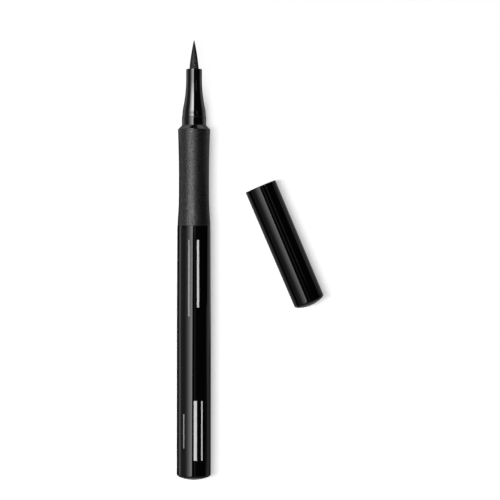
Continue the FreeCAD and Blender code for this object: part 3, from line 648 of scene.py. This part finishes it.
# Reflections see the table instead as a painted reflection: grey levels painted round the object stand in
# for the shaded table near it, darkest close beside the barrel: (x, grey) across the barrel and beside the
# nose, and levels along Y. The patches are ovals, even out to the edge and gone at the end, both measured
# across, and share is their width over their length.
paintedReflection = {"span": 130.0, "blend": 5.0,
         "across": [(-130, 0.25), (-57, 0.3), (-42, 0.9), (-34, 1.1), (-26, 1.2), (-20, 0.6), (-15, 0.12),
                    (-12, 0.0), (8, 0.0), (11, 0.1), (17, 0.27), (26, 0.37), (32, 0.37), (38, 0.05),
                    (130, 0.05)],
         "besideNose": [(-130, 0.35), (-32, 0.35), (-17, 0.85), (-11, 0.5), (-6, 0.34), (5, 0.28), (8, 0.29),
                        (14, 0.68), (24, 0.4), (32, 0.3), (130, 0.3)],
         "tail": penAxis["origin"][1], "tailLevel": 0.4, "tailEnd": -112.0, "rearEnd": -122.0,
         "rearLevel": 0.08, "shoulder": -1.3, "frontStart": 40.0, "frontEnd": 110.0, "frontLevel": 0.03}
paintedReflectionPatches = {"underCap": {"middle": (27.0, -35.4), "turn": layAngle, "edge": 22.0, "end": 34.0, "share": 0.65,
                        "level": 0.34},
           "pastCap": {"middle": (80.4, -12.7), "turn": layAngle, "edge": 26.0, "end": 42.0, "share": 1.5,
                       "level": 0.56},
           "underNose": {"middle": (0.0, 13.0), "turn": 0.0, "edge": 6.5, "end": 11.0, "share": 0.5,
                         "level": 0.12}}
half, level = table["half"] * mm, table["level"] * mm
mesh = bpy.data.meshes.new("tableTop")
mesh.from_pydata([(-half, -half, level), (half, -half, level), (half, half, level), (-half, half, level)],
                 [], [(0, 1, 2, 3)])
tableTop = bpy.data.objects.new("tableTop", mesh)
scene.collection.objects.link(tableTop)
paper, tree = startMaterial("whitePaper")
paper.cycles.emission_sampling = "NONE"
place = addNode(tree, "ShaderNodeTexCoord").outputs["Object"]
spot = addNode(tree, "ShaderNodeSeparateXYZ", {"Vector": place})
across = addNode(tree, "ShaderNodeMapRange",
                 {"Value": spot.outputs["X"], "From Min": -paintedReflection["span"] * mm,
                  "From Max": paintedReflection["span"] * mm})
ramps = {}
for name in ("across", "besideNose"):
    ramp = addNode(tree, "ShaderNodeValToRGB", {"Fac": across.outputs["Result"]})
    stops = ramp.color_ramp.elements
    while len(stops) < len(paintedReflection[name]):
        stops.new(1.0)
    for stop, (x, tone) in zip(stops, paintedReflection[name]):
        stop.position = (x + paintedReflection["span"]) / (2 * paintedReflection["span"])
        stop.color = (tone, tone, tone, 1)
    ramps[name] = ramp.outputs["Color"]
ovals = {}
for name, patch in paintedReflectionPatches.items():
    turned = addNode(tree, "ShaderNodeMapping",
                     {"Vector": place, "Location": (*(np.array(patch["middle"]) * mm), level),
                      "Rotation": (0, 0, patch["turn"]), "Scale": (1.0, 1 / patch["share"], 1.0)},
                     vector_type="TEXTURE")
    apart = addNode(tree, "ShaderNodeVectorMath", {0: turned.outputs[0]}, operation="LENGTH")
    ovals[name] = (apart.outputs["Value"], patch["end"], patch["edge"], patch["level"])
# each zone takes over from the last: (measured value, where it starts, where it is full, its grey)
zones = [ovals["underCap"], ovals["pastCap"],
         (spot.outputs["Y"], paintedReflection["tail"], paintedReflection["tail"] - paintedReflection["blend"], paintedReflection["tailLevel"]),
         (spot.outputs["Y"], paintedReflection["tailEnd"], paintedReflection["rearEnd"], paintedReflection["rearLevel"]),
         (spot.outputs["Y"], paintedReflection["shoulder"] - paintedReflection["blend"], paintedReflection["shoulder"], ramps["besideNose"]),
         ovals["underNose"],
         (spot.outputs["Y"], paintedReflection["frontStart"], paintedReflection["frontEnd"], paintedReflection["frontLevel"])]
grey = ramps["across"]
for value, start, end, inside in zones:
    share = addNode(tree, "ShaderNodeMapRange",
                    {"Value": value, "From Min": start * mm, "From Max": end * mm},
                    interpolation_type="SMOOTHSTEP")
    grey = addNode(tree, "ShaderNodeMix", {0: share.outputs["Result"], 2: grey, 3: inside}).outputs[0]
# painted reflection: the painted grey glows as plain emission, seen only by reflections
paintedReflectionShader = addNode(tree, "ShaderNodeEmission", {"Color": white, "Strength": grey})
away = addNode(tree, "ShaderNodeVectorMath", {0: place}, operation="LENGTH")
added = addNode(tree, "ShaderNodeMapRange",
                {"Value": away.outputs["Value"], "From Min": table["whiteNear"] * mm,
                 "From Max": table["whiteFar"] * mm, "To Min": table["white"], "To Max": 1.0},
                interpolation_type="SMOOTHSTEP")
lit = addNode(tree, "ShaderNodeBsdfDiffuse", {"Color": linear(table["paper"])})
plain = addNode(tree, "ShaderNodeEmission", {"Color": white, "Strength": added.outputs["Result"]})
summed = addNode(tree, "ShaderNodeAddShader", {0: lit.outputs[0], 1: plain.outputs[0]})
# the shadow thins out towards the nib, and is cut short beside the nose
thinned = addNode(tree, "ShaderNodeMapRange",
                  {"Value": spot.outputs["Y"], "From Min": table["thinStart"] * mm,
                   "From Max": table["thinEnd"] * mm, "To Max": table["thin"]},
                  interpolation_type="SMOOTHSTEP")
forward = addNode(tree, "ShaderNodeMapRange",
                  {"Value": spot.outputs["Y"], "From Min": table["cutStart"] * mm,
                   "From Max": table["cutEnd"] * mm, "To Max": table["cut"]},
                  interpolation_type="SMOOTHSTEP")
aside = addNode(tree, "ShaderNodeMapRange",
                {"Value": spot.outputs["X"], "From Min": table["cutNear"] * mm,
                 "From Max": table["cutFar"] * mm}, interpolation_type="SMOOTHSTEP")
cut = addNode(tree, "ShaderNodeMath", {0: forward.outputs["Result"], 1: aside.outputs["Result"]},
              operation="MULTIPLY")
cleared = addNode(tree, "ShaderNodeMath", {0: thinned.outputs["Result"], 1: cut.outputs[0]},
                  operation="MAXIMUM")
bare = addNode(tree, "ShaderNodeEmission", {"Color": white, "Strength": 1.0})
seen = addNode(tree, "ShaderNodeMixShader", {0: cleared.outputs[0], 1: summed.outputs[0], 2: bare.outputs[0]})
rays = addNode(tree, "ShaderNodeLightPath")
mirrored = addNode(tree, "ShaderNodeMath",
                   {0: rays.outputs["Is Glossy Ray"], 1: rays.outputs["Is Transmission Ray"]},
                   operation="MAXIMUM")
# reflections see the painted reflection, diffuse rays see the lit paper
unseen = addNode(tree, "ShaderNodeMixShader",
                 {0: mirrored.outputs[0], 1: lit.outputs[0], 2: paintedReflectionShader.outputs[0]})
either = addNode(tree, "ShaderNodeMixShader",
                 {0: rays.outputs["Is Camera Ray"], 1: unseen.outputs[0], 2: seen.outputs[0]})
addNode(tree, "ShaderNodeOutputMaterial", {"Surface": either.outputs[0]})
mesh.materials.append(paper)
print("table made")

# Studio: a key light over the pen makes the shadow. What the gloss mirrors is a large softbox on the left,
# brightest along its slanting right edge, a dim wall, faint strips on the right and a panel beyond each end.
key = {"middle": (-190.0, -75.0), "high": 700.0, "width": 330.0, "depth": 120.0, "radiance": 42.0}
softbox = {"right": 0.0, "high": 750.0, "width": 1360.0, "depth": 1900.0, "middleY": 120.0, "radiance": 5.2,
           "edge": -80.0, "edgeSlope": 0.35, "edgeMost": -26.0, "edgeBend": 40.0, "edgeSoft": 25.0,
           "fadeStart": -112.0, "fade": 420.0, "noseFade": 540.0, "fadePower": 1.25, "nosePower": 2.1,
           "fadeFrom": 50.0, "fadeTo": 130.0, "farGain": 0.9, "gainStart": 60.0, "gainEnd": 330.0}
room = {"ambient": 0.01, "wallPlace": -1600.0, "wallHigh": 1100.0, "panelPlace": 1500.0, "panelWide": 1800.0,
        "panelTall": 800.0, "panelHigh": 650.0, "panelRadiance": 0.6, "stripHigh": 750.0}
walls = [{"from": -1550.0, "to": 50.0, "radiance": 0.22}, {"from": 50.0, "to": 1550.0, "radiance": 0.12}]
strips = [{"middle": 110.0, "width": 90.0, "from": -830.0, "to": -18.0, "radiance": 0.25},
          {"middle": 110.0, "width": 90.0, "from": -18.0, "to": 40.0, "radiance": 0.5},
          {"middle": 465.0, "width": 60.0, "from": 110.0, "to": 230.0, "radiance": 0.9}]
facingDown = (0, 0, 0)


def areaLight(name, place, turn, width, depth, radiance):
    # a flat panel of even radiance gives off radiance * pi * its area in watts
    lamp = bpy.data.lights.new(name, "AREA")
    lamp.shape = "RECTANGLE"
    lamp.size, lamp.size_y = width * mm, depth * mm
    lamp.energy = radiance * math.pi * lamp.size * lamp.size_y
    made = bpy.data.objects.new(name, lamp)
    made.location = np.array(place) * mm
    made.rotation_euler = turn
    made.visible_camera = False
    scene.collection.objects.link(made)
    return made


keyLight = areaLight("keyLight", (*key["middle"], key["high"]), facingDown,
                     key["width"], key["depth"], key["radiance"])
keyLight.visible_glossy = False
overhead = areaLight("overheadSoftbox",
                     (softbox["right"] - softbox["width"] / 2, softbox["middleY"], softbox["high"]),
                     facingDown, softbox["width"], softbox["depth"], softbox["radiance"])
overhead.visible_diffuse = False
overhead.data.use_nodes = True
tree = overhead.data.node_tree
tree.nodes.clear()
geometry = addNode(tree, "ShaderNodeNewGeometry")
face = addNode(tree, "ShaderNodeSeparateXYZ", {"Vector": geometry.outputs["Parametric"]})
faceX = addNode(tree, "ShaderNodeMapRange",
                {"Value": face.outputs["X"], "To Min": softbox["right"] - softbox["width"],
                 "To Max": softbox["right"]}).outputs["Result"]
faceY = addNode(tree, "ShaderNodeMapRange",
                {"Value": face.outputs["Y"], "To Min": softbox["middleY"] - softbox["depth"] / 2,
                 "To Max": softbox["middleY"] + softbox["depth"] / 2}).outputs["Result"]
# right edge: x = edge + slope * y, held at its furthest over the nose
edge = addNode(tree, "ShaderNodeMath", {0: faceY, 1: softbox["edgeSlope"], 2: softbox["edge"]},
               operation="MULTIPLY_ADD")
edge = addNode(tree, "ShaderNodeMath", {0: edge.outputs[0], 1: softbox["edgeMost"], 2: softbox["edgeBend"]},
               operation="SMOOTH_MIN")
inside = addNode(tree, "ShaderNodeMath", {0: edge.outputs[0], 1: faceX}, operation="SUBTRACT")
within = addNode(tree, "ShaderNodeMapRange", {"Value": inside.outputs[0], "From Max": softbox["edgeSoft"]},
                 interpolation_type="SMOOTHSTEP")
# brightness: exp(-((start - x) / fade)^power), with a flatter top and a gain over the nose
start = addNode(tree, "ShaderNodeMath", {0: edge.outputs[0], 1: softbox["fadeStart"]}, operation="MAXIMUM")
deep = addNode(tree, "ShaderNodeMath", {0: start.outputs[0], 1: faceX}, operation="SUBTRACT")
fade = addNode(tree, "ShaderNodeMapRange",
               {"Value": faceY, "From Min": softbox["fadeFrom"], "From Max": softbox["fadeTo"],
                "To Min": softbox["fade"], "To Max": softbox["noseFade"]})
bend = addNode(tree, "ShaderNodeMapRange",
               {"Value": faceY, "From Min": softbox["fadeFrom"], "From Max": softbox["fadeTo"],
                "To Min": softbox["fadePower"], "To Max": softbox["nosePower"]})
ratio = addNode(tree, "ShaderNodeMath", {0: deep.outputs[0], 1: fade.outputs["Result"]}, operation="DIVIDE")
ratio = addNode(tree, "ShaderNodeMath", {0: ratio.outputs[0], 1: 0.0}, operation="MAXIMUM")
power = addNode(tree, "ShaderNodeMath", {0: ratio.outputs[0], 1: bend.outputs["Result"]}, operation="POWER")
below = addNode(tree, "ShaderNodeMath", {0: power.outputs[0], 1: -1.0}, operation="MULTIPLY")
fall = addNode(tree, "ShaderNodeMath", {0: below.outputs[0]}, operation="EXPONENT")
gain = addNode(tree, "ShaderNodeMapRange",
               {"Value": faceY, "From Min": softbox["gainStart"], "From Max": softbox["gainEnd"],
                "To Min": 1.0, "To Max": 1.0 + softbox["farGain"]}, interpolation_type="SMOOTHSTEP")
shine = addNode(tree, "ShaderNodeMath", {0: fall.outputs[0], 1: gain.outputs["Result"]}, operation="MULTIPLY")
shine = addNode(tree, "ShaderNodeMath", {0: shine.outputs[0], 1: within.outputs["Result"]},
                operation="MULTIPLY")
glow = addNode(tree, "ShaderNodeEmission", {"Strength": shine.outputs[0]})
addNode(tree, "ShaderNodeOutputLight", {"Surface": glow.outputs[0]})
for wall in walls:
    areaLight("leftWall", (room["wallPlace"], (wall["from"] + wall["to"]) / 2, room["wallHigh"] / 2),
              (0, -math.pi / 2, 0), room["wallHigh"], wall["to"] - wall["from"], wall["radiance"])
for end in (1, -1):
    areaLight("endPanel", (0, end * room["panelPlace"], room["panelHigh"]), (-end * math.pi / 2, 0, 0),
              room["panelWide"], room["panelTall"], room["panelRadiance"])
for strip in strips:
    areaLight("faintStrip", (strip["middle"], (strip["from"] + strip["to"]) / 2, room["stripHigh"]),
              facingDown, strip["width"], strip["to"] - strip["from"], strip["radiance"])

# World: white to the camera, almost dark to everything else
world = bpy.data.worlds.new("darkStudio")
scene.world = world
world.use_nodes = True
tree = world.node_tree
tree.nodes.clear()
rays = addNode(tree, "ShaderNodeLightPath")
dim = addNode(tree, "ShaderNodeBackground", {"Color": white, "Strength": room["ambient"]})
clear = addNode(tree, "ShaderNodeBackground", {"Color": white, "Strength": 1.0})
mixed = addNode(tree, "ShaderNodeMixShader",
                {0: rays.outputs["Is Camera Ray"], 1: dim.outputs[0], 2: clear.outputs[0]})
addNode(tree, "ShaderNodeOutputWorld", {"Surface": mixed.outputs[0]})
print("studio made")
